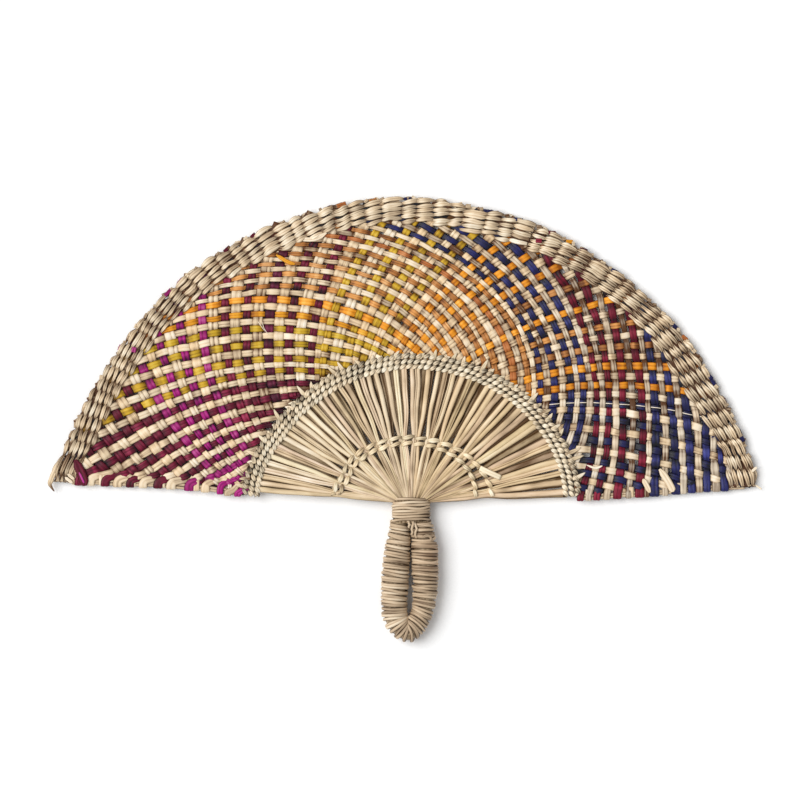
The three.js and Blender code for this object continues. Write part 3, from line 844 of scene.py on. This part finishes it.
for row in range(INNER_ROWS):
    band = StrawMesh()
    angles = np.linspace(0.6, 179.4, 900)
    path = chart_point(angles, band_outer_reach(angles) - 0.0085 - BAND_ROW_PITCH * row)
    path = path[path[:, 1] > lower_edge(path[:, 0]) + 0.6]
    phase = np.pi * (chart_angle(path) / BAND_BEAD_ANGLE + 0.3 * row)
    phase = phase + smooth_noise(len(path), 0.16, 60)
    add_twined_row(band, path, phase, 1.3, 0.9, 0.9, 1.6, 0.55 if row else 0.38, groove=0.3,
                   rim_shade=-0.66, lift=0.4, pinch=0.36)
    band.build_row(f"inner_band_row_{row + 1}", "band_straw")

# Stalks, three to a bundle, in an upper layer and a lower one

STALKS = 54
STALKS_PER_BUNDLE = 3
STALK_STEPS = 46
SMALL_BAND_MIDDLE = np.array([1.7, NECK_TOP])
SMALL_BAND_SIZE = (41.3, 32.0)
# Between the angles of the first and the last stalk
STALKS_FROM = 1.5
STALKS_SPREAD = 177


def small_band_point(angle):
    dent = 0.05 * np.exp(-((angle - 22) / 10) ** 2)
    return oval_point(SMALL_BAND_MIDDLE, SMALL_BAND_SIZE, angle, 1 - dent)


def stalk_angle(number):
    return STALKS_FROM + number / STALKS * STALKS_SPREAD


def hub_x(angle):
    return 2.0 - 8.4 * np.cos(np.radians(angle))


def stalk_end(angle):
    return chart_point(angle, band_outer_reach(angle) - 0.038)


def add_stalk(mesh, number, bundle_angle, upper):
    """A stalk from the neck to the inner band, drawn to its bundle's middle at the small band."""
    end_angle = stalk_angle(number + 0.5 + random.normal(0, 0.12))
    end_angle = np.clip(end_angle, 1.2, 178.8)
    spread = np.radians(end_angle)
    end = stalk_end(end_angle)
    hub = np.array([hub_x(end_angle), NECK_TOP - 2.4 + 0.9 * np.sin(spread)])
    hub_middle = np.array([hub_x(bundle_angle), hub[1]])
    share = np.linspace(0, 1, STALK_STEPS)
    line = hub + (end - hub) * share[:, None]
    gathered = hub_middle + (stalk_end(bundle_angle) - hub_middle) * share[:, None]
    distance = np.linalg.norm(line - SMALL_BAND_MIDDLE, axis=1)
    band_place = np.linalg.norm(small_band_point(bundle_angle) - SMALL_BAND_MIDDLE)
    pull = 0.42 * np.exp(-((distance - band_place) / 9.0) ** 2)
    line = line * (1 - pull[:, None]) + gathered * pull[:, None]
    side_step = unit(end - hub)[::-1] * [-1, 1]
    line = line + side_step * (smooth_noise(STALK_STEPS, 0.22, 4) * share)[:, None]
    height = (0.75 if upper else -0.95) + smooth_noise(STALK_STEPS, 0.16, 4) - 0.5 * pull
    height += (3.6 if upper else -2.5) * np.sin(spread) * np.clip(1 - 5 * share, 0, 1)
    full = 1.9
    if upper:
        full = random.uniform(1.35, 1.75) + 0.3 * np.interp(end_angle, [110, 135], [0, 1])
    width = np.interp(share, [0, 0.18, 1], [0.75, 0.95, full]) - 0.35 * pull
    # A lower stalk's low base tone is painted shade, standing for the shade between the upper
    # stalks.
    base = (np.clip(random.normal(0.6, 0.13), 0.36, 0.74) if upper
            else random.normal(0.18, 0.06))
    at_right = np.interp(end_angle, [80, 110], [0, 1])
    base -= 0.04 + 0.08 * at_right
    tone = base + smooth_noise(STALK_STEPS, 0.07, 7) - 0.2 * (1 - share) ** 3
    warm = random.uniform(-1, 1)
    green = random.uniform(-1, 1)
    tint = (1 - 0.016 * green, 1 - 0.03 * at_right + 0.014 * green,
            1 - 0.06 * warm - 0.08 * at_right - 0.01 * green)
    section = (round_section(12, 0.8, -0.55) if random.uniform() < 0.7
               else doubled_section(random.uniform(-0.5, 0.5), 0.6, -0.6))
    if not upper:
        # The lower stalk's dark tone is painted shade from the upper layer, so its underside is
        # made as pale as the rest.
        across, out, shade = section
        section = (across, out, shade + 0.4 * np.clip(-4 * out, 0, 1))
    add_straw(mesh, raised(line, height), UP, width, np.minimum(width, 1.15), section, tone, tint)


for bundle in range(STALKS // STALKS_PER_BUNDLE):
    stalks = StrawMesh()
    first = bundle * STALKS_PER_BUNDLE
    bundle_angle = stalk_angle(first + STALKS_PER_BUNDLE / 2)
    for shift, upper in ((0, True), (0.5, False)):
        for number in range(first, first + STALKS_PER_BUNDLE):
            add_stalk(stalks, number + shift, bundle_angle, upper)
    label = f"{bundle + 1:02d}"
    stalks.build(f"stalks_{label}", "stalk_straw", [f"stalk_bundle_{label}"])

# Pointed straw ends that stick out past the inner band

POINTED_ENDS = 50
for number in range(POINTED_ENDS):
    angle = 2.5 + (number + random.uniform(0.3, 0.7)) / POINTED_ENDS * 175
    length = (3.2 + 5.2 * random.uniform() ** 1.7) / HEIGHT
    share = np.linspace(0, 1, 9)
    lean = random.normal(0, 1.4)
    line = chart_point(angle + lean * share ** 1.4,
                       band_outer_reach(angle) - 0.018 + length * share)
    width = np.interp(share, [0, 0.4, 0.8, 1], [0.9, 1.3, 0.8, 0.2])
    tint = 1 + random.uniform(0, 1) * np.array([-0.1, -0.06, -0.08])
    tone = random.normal(0.5, 0.12) + np.interp(share, [0.3, 0.8], [-0.1, 0.16])
    add_straw(strand_meshes["natural"], raised(line, 1.9 - 0.4 * share), UP, width,
              0.45 * width + 0.12, doubled_section(0.2, 0.2), tone, tint)

# Small band across the stalks

SMALL_BAND_BEADS = 18
SMALL_BAND_OFFSET = 1.65
for row, side in enumerate((1, -1)):
    small_row = StrawMesh()
    angles = np.linspace(2, 178.5, 520)
    spread = np.interp(angles, [0, 110, 150, 178], [0.2, 0, 1.2, 3.0])
    line = small_band_point(angles)
    outward = unit(line - SMALL_BAND_MIDDLE)
    line = line + outward * (side * (SMALL_BAND_OFFSET + spread))[:, None]
    phase = np.pi * (angles / (STALKS_SPREAD / SMALL_BAND_BEADS) + 0.1 * row)
    add_twined_row(small_row, line, phase, 1.35, 0.95, 0.55, 1.9, 0.58, groove=0.3,
                   rim_shade=-0.6, lift=0.4)
    small_row.build_row(f"small_band_row_{row + 1}", "cream_straw")

TAIL_START = np.array([41.0, -27.3])
TAIL_END = np.array([52.4, -32.6])
tail = StrawMesh()
share = np.linspace(0, 1, 14)
line = TAIL_START + (TAIL_END - TAIL_START) * share[:, None]
add_straw(tail, raised(line, 2.3 + 0.8 * np.sin(np.pi * share)), UP, 1.6, 0.5,
          doubled_section(0.1, 0.3, -0.6), 0.8)
tail.build("small_band_tail", "cream_straw", ["small_band_tail"])

# Cut ends that show past the rim, as an angle and a dye

CUT_ENDS = [
    (31.5, "magenta"), (36.8, None), (43.5, "magenta"), (45.2, "pink"), (48.2, "pink"),
    (58.3, "burgundy"), (63.4, "burgundy"), (71.4, "red"), (76.8, "purple"), (79.2, "russet"),
    (84.4, "brown"), (90.1, "navy"), (103.6, "navy"), (108.8, "navy"), (115.0, "red"),
    (118.4, "amber"), (121.3, "purple"), (128.0, "navy"), (143.2, "navy"), (146.0, "russet"),
    (148.3, "navy"), (154.9, "navy"), (156.3, "navy"), (160.3, "burgundy"), (167.2, "navy"),
    (168.5, "navy")]
UNDYED_ENDS = np.arange(10, 172, 2.1)
scattered_ends = [(angle + random.uniform(-0.7, 0.7), None) for angle in UNDYED_ENDS]
for angle, dye in CUT_ENDS + scattered_ends:
    key, tint = DYE_MESHES[dye]
    slant = random.uniform(0.2, 1.0)
    share = np.linspace(-1, 1, 9)
    half_angle = random.uniform(0.45, 0.85) if dye else random.uniform(0.15, 0.5)
    line = chart_point(angle + half_angle * share,
                       rim_reach(angle) + 0.001 + 0.004 * slant * share)
    tone = 0.42 if dye else random.uniform(0.1, 0.6)
    add_straw(strand_meshes[key], raised(line, 1.0 - 0.4 * share), UP,
              random.uniform(0.8, 1.3), 0.5, doubled_section(0.0, 0.4), tone, tint)

# Two dyed flecks between the border's rows

for angle, reach, dye in ((32.4, 0.912, "pink"), (113.6, 0.928, "red")):
    key, tint = DYE_MESHES[dye]
    share = np.linspace(-1, 1, 7)
    line = chart_point(angle + 0.5 * share, reach + 0.003 * share)
    add_straw(strand_meshes[key], raised(line, 2.4), UP, 1.3, 0.6, doubled_section(0.1, 0.5),
              0.62, tint)

# Single straws out of line: guide points in millimetres, half width, tone, dye and height

LOOSE_STRAWS = [
    ([(-73.6, 92.6), (-70.0, 90.4), (-66.4, 88.4), (-63.0, 87.4)], 1.1, 0.52, "amber", 1.9),
    ([(-84.0, 55.6), (-82.2, 52.8), (-79.6, 49.4)], 0.14, 1.0, None, 2.0),
    ([(-81.4, 54.9), (-80.4, 51.4), (-78.2, 48.0)], 0.14, 1.0, None, 2.1),
    ([(-45.2, 105.0), (-52.0, 101.5), (-61.2, 101.6)], 1.3, 0.72, None, 1.5),
    ([(142.0, -27.8), (145.3, -32.4), (148.6, -38.1), (149.3, -40.7)], 2.0, 0.66, None, 1.9),
    ([(132.7, -33.4), (134.5, -36.7), (136.6, -41.0)], 1.5, 0.62, None, 1.9),
    ([(196.2, -37.1), (199.5, -39.2)], 0.5, 0.8, None, 1.2),
    ([(193.9, -29.2), (196.7, -26.8)], 0.8, 0.8, None, 2.4),
    ([(101.0, -25.6), (106.0, -27.2), (109.8, -26.0)], 0.6, 0.9, None, 2.1),
    ([(-186.7, -22.6), (-184.8, -26.8), (-183.0, -30.6), (-181.8, -34.3), (-181.1, -37.3)],
     2.7, 0.42, "burgundy", 1.9),
    # This thin magenta straw on the burgundy one is a painted highlight along it.
    ([(-184.4, -29.6), (-182.8, -33.0), (-181.5, -35.8)], 0.6, 0.62, "magenta", 2.9),
    ([(-192.3, -32.4), (-188.1, -35.7)], 0.9, 0.8, None, 2.2),
    ([(-190.9, -30.6), (-187.2, -33.6)], 0.9, 0.72, None, 2.0),
]
for guide, half_width, tone, dye, height in LOOSE_STRAWS:
    key, tint = DYE_MESHES[dye]
    line = smooth_line(guide, 22)
    width = half_width * np.interp(np.linspace(0, 1, 22), [0, 0.2, 0.8, 1], [0.35, 1, 1, 0.45])
    add_straw(strand_meshes[key], raised(line, height), UP, width, 0.35 * half_width + 0.12,
              doubled_section(0.1, 0.4), tone, tint)

# The left tip, where the outermost straw bends into a brown hook

TIP_HOOK = [(-194.2, -22.6), (-195.6, -25.0), (-198.6, -30.1), (-200.2, -33.9), (-200.9, -36.2),
            (-200.2, -37.8), (-199.1, -39.5), (-198.4, -40.4)]
line = smooth_line(TIP_HOOK, 34)
share = np.linspace(0, 1, 34)
width = np.interp(share, [0, 0.2, 0.5, 0.75, 1], [0.7, 1.5, 1.4, 0.7, 0.25])
tone = np.interp(share, [0, 0.45, 0.7, 1], [0.62, 0.5, 0.12, -0.1])
add_straw(strand_meshes["natural"], raised(line, 1.0), UP, width, 0.6 * width,
          doubled_section(0.2, 0.5), tone)

for key, mesh in strand_meshes.items():
    sheets = [f"strands_{sheet}" for sheet in STRAND_SHEETS[key]]
    if key == "natural":
        mesh.build("strands_natural", "weave_straw", sheets, "border_straw")
    else:
        mesh.build(f"strands_{key}", f"{key}_straw", sheets)

# The straw along each lower edge of the blade

for name, from_x, to_x in (("edge_straw_left", -186, -93), ("edge_straw_right", 98, 190)):
    edge = StrawMesh()
    x = np.linspace(from_x, to_x, 90)
    for offset in (0.0, 1.5):
        line = np.column_stack([x, lower_edge(x) + 0.6 + offset + smooth_noise(90, 0.12, 12)])
        add_straw(edge, raised(line, 0), UP, 0.8, 0.7, round_section(8), 0.45)
    edge.build(name, "border_straw", [name])

# Handle

# The loop's middle line with its radius at each point, from the left leg to the right one
LOOP_LINE = [
    (-4.0, -57.6, 5.6), (-4.3, -63, 6.1), (-5.2, -72, 7.2), (-6.3, -84, 7.7), (-7.0, -96, 7.5),
    (-7.2, -106, 7.3), (-6.3, -112.3, 7.0), (-3.2, -116.6, 6.9), (0.9, -118.6, 6.8),
    (4.4, -115.9, 6.3), (7.2, -111.2, 6.2), (9.3, -105.3, 6.3), (10.1, -96, 7.0),
    (10.2, -84, 7.5), (9.7, -72, 7.3), (8.6, -63, 6.4), (7.9, -57.2, 5.9)]
loop = smooth_line(LOOP_LINE, 2600)
loop_along = lengths_along(loop[:, :2])
loop_direction = unit(np.gradient(loop[:, :2], axis=0))


def loop_point(along, turn, depth):
    """A point round the loop: along its middle line, turned about it, below its surface."""
    line = values_at(along, loop_along, loop)
    middle = line[:, :2]
    radius = line[:, 2] - depth
    across = unit(values_at(along, loop_along, loop_direction))[:, ::-1] * [1, -1]
    place = middle + across * (radius * np.cos(turn))[:, None]
    point = np.column_stack([place, HANDLE_MIDDLE + radius * np.sin(turn) * 0.97])
    return point, unit(point - np.insert(middle, 2, HANDLE_MIDDLE, axis=1))


WOUND_STRAW = round_section(8, 1.0, -0.75)
LOOP_TURNS = 74
STEPS_PER_LOOP_TURN = 18
winding = StrawMesh()
count = LOOP_TURNS * STEPS_PER_LOOP_TURN
turns = np.linspace(0, LOOP_TURNS, count)
pitch = (loop_along[-1] - 1.5) / LOOP_TURNS
along = 0.7 + turns * pitch + smooth_noise(count, 0.5, LOOP_TURNS * 4)
lean = -0.9 * np.cos(2 * np.pi * turns)
points, outward = loop_point(along + lean, -2 * np.pi * turns, 0.7)
bulge = smooth_noise(count, 0.22, LOOP_TURNS * 3)
points = points + outward * bulge[:, None]
tone = random.normal(0.53, 0.09, LOOP_TURNS + 1)[turns.astype(int)]
tone = tone + smooth_noise(count, 0.09, LOOP_TURNS * 4)
# The right leg is darker, and browner in a patch towards its right side.
tone = tone - 0.1 * np.interp(points[:, 0], [0, 4], [0, 1])
brown_patch = np.exp(-((points[:, 1] + 76) / 11) ** 2) * np.interp(points[:, 0], [4, 13], [0, 1])
tint = 1 - np.outer(brown_patch, [0.08, 0.16, 0.2])
width = 0.97 * (1 + smooth_noise(count, 0.12, LOOP_TURNS * 2))
add_straw(winding, points, outward, width, 0.9, WOUND_STRAW, tone, tint)
winding.build("handle_winding", "cord_straw", ["handle_winding"])

NECK_TURNS = 8
STEPS_PER_NECK_TURN = 36
NECK_WINDING_LENGTH = 12.4
neck = StrawMesh()
count = NECK_TURNS * STEPS_PER_NECK_TURN
turns = np.linspace(0, NECK_TURNS, count)
wave = smooth_noise(count, 0.36, NECK_TURNS * 7)
down = turns / NECK_TURNS
turn = 2 * np.pi * turns
swell = smooth_noise(count, 0.16, NECK_TURNS * 6)
radius_x = np.interp(down, [0, 0.25, 1], [9.2, 10.0, 10.3]) + swell
ring = np.column_stack([2.2 + 0.2 * down + radius_x * np.cos(turn),
                        NECK_TOP - 1.0 - down * NECK_WINDING_LENGTH + wave,
                        HANDLE_MIDDLE + (6.1 + swell) * np.sin(turn)])
outward = unit(np.column_stack([np.cos(turn) / 10.2, np.zeros(count), np.sin(turn) / 6.6]))
tone = random.normal(0.48, 0.07, NECK_TURNS + 1)[turns.astype(int)]
# Painted shade darkens the neck winding towards its right side, as if lit from the left.
tone = tone + smooth_noise(count, 0.08, NECK_TURNS * 6) - 0.12 * np.cos(turn)
add_straw(neck, ring, outward, 0.86, 0.8, WOUND_STRAW, tone)

# Stitches below the neck, between the legs, and a bent one beside them

THIN_ROUND = round_section(8, 1.0, -0.6)
STITCHES = [(0.9, -56.6, -60.6), (3.0, -57.0, -64.6), (5.0, -58.0, -66.4)]
for x, top, bottom in STITCHES:
    share = np.linspace(0, 1, 16)
    line = np.column_stack([x + smooth_noise(16, 0.4, 3), top + (bottom - top) * share])
    height = HANDLE_MIDDLE + 5.0 + 1.3 * np.sin(np.pi * share) ** 0.6
    add_straw(neck, np.column_stack([line, height]), UP, 0.74, 0.6, THIN_ROUND, 0.55)
BEND_MIDDLE = (11.2, -66.9)
BEND_RADIUS = 2.2
turn = np.linspace(-0.45 * np.pi, 0.85 * np.pi, 24)
height = HANDLE_MIDDLE + 5.9 - 0.5 * BEND_RADIUS * np.cos(turn)
height = height + 0.7 * np.sin(np.linspace(0, np.pi, 24))
bend = np.column_stack([BEND_MIDDLE[0] + BEND_RADIUS * np.cos(turn),
                        BEND_MIDDLE[1] + 0.84 * BEND_RADIUS * np.sin(turn), height])
add_straw(neck, bend, (0.4, 0, 1), 0.9, 0.6, THIN_ROUND, 0.42)
neck.build("neck_winding", "cord_straw", ["neck_winding"])

# The bundle of stalks under the windings: round the loop, and in the neck

LOOP_STALKS = 11
NECK_STALKS = 22
core = StrawMesh()
along = np.linspace(0.2, loop_along[-1] - 0.2, 160)
for turn in 2 * np.pi * np.arange(LOOP_STALKS) / LOOP_STALKS:
    points, outward = loop_point(along, np.full(160, turn), 2.6)
    add_straw(core, points, outward, 2.1, 1.2, round_section(8), 0.28)
y = np.linspace(NECK_TOP - 1.6, NECK_TOP - 14.5, 14)
narrow = np.interp(y, [NECK_TOP - 14.5, NECK_TOP - 2], [7.4, 7.9])
for turn in 2 * np.pi * np.arange(NECK_STALKS) / NECK_STALKS:
    points = np.column_stack([1.3 + narrow * np.cos(turn), y,
                              np.full(14, HANDLE_MIDDLE + 4.9 * np.sin(turn))])
    outward = (np.cos(turn), 0, np.sin(turn))
    add_straw(core, points, outward, 1.3, 0.9, round_section(8), 0.22)
core.build("handle_core", "stalk_straw", ["handle_core"])

# Stage: a pale floor, soft daylight and the photograph's view from above

floor_material = bpy.data.materials.new("floor")
nodes = Nodes(floor_material)
speckle = nodes.noise(nodes.node("ShaderNodeTexCoord", output="Object"), 900.0)
nodes.feed_surface({
    "Base Color": nodes.ramp(speckle, [(0.3, (251, 251, 251)), (0.7, (255, 255, 255))]),
    "Roughness": 0.9, "Specular IOR Level": 0.0})
floor_mesh = bpy.data.meshes.new("floor")
floor_mesh.from_pydata([(-6, -6, 0), (6, -6, 0), (6, 6, 0), (-6, 6, 0)], [], [(0, 1, 2, 3)])
floor_mesh.materials.append(floor_material)
floor = add_object("floor", floor_mesh)

# The sky is brighter where the camera or a shine sees it than where it lights the fan.
world = bpy.data.worlds.new("studio")
bpy.context.scene.world = world
nodes = Nodes(world)
camera_ray = nodes.node("ShaderNodeLightPath", output="Is Camera Ray")
shine_ray = camera_ray.node.outputs["Is Glossy Ray"]
seen = nodes.math("MAXIMUM", camera_ray, shine_ray)
strength = nodes.node("ShaderNodeMapRange", {"Value": seen, "To Min": 0.48, "To Max": 1.0},
                      "Result")
background = nodes.tree.nodes["Background"]
nodes.feed(background.inputs["Color"], (1, 1, 1, 1))
nodes.feed(background.inputs["Strength"], strength)

sun_data = bpy.data.lights.new("window", "SUN")
sun_data.energy = 2.55
sun_data.angle = math.radians(46)
sun = add_object("window", sun_data)
sun.rotation_euler = (math.radians(-9), math.radians(-36), 0)

VIEW_WIDTH = 450.7
VIEW_CENTRE = (-3.94, 11.0)
SENSOR_WIDTH = 36
CAMERA_DISTANCE = 3000
camera_data = bpy.data.cameras.new("camera")
camera_data.sensor_width = SENSOR_WIDTH
camera_data.lens = SENSOR_WIDTH * CAMERA_DISTANCE / VIEW_WIDTH
camera_data.clip_end = 20
camera = add_object("camera", camera_data)
camera.location = np.array([*VIEW_CENTRE, CAMERA_DISTANCE]) * METRES
bpy.context.scene.camera = camera

bpy.context.scene.view_settings.view_transform = "Standard"
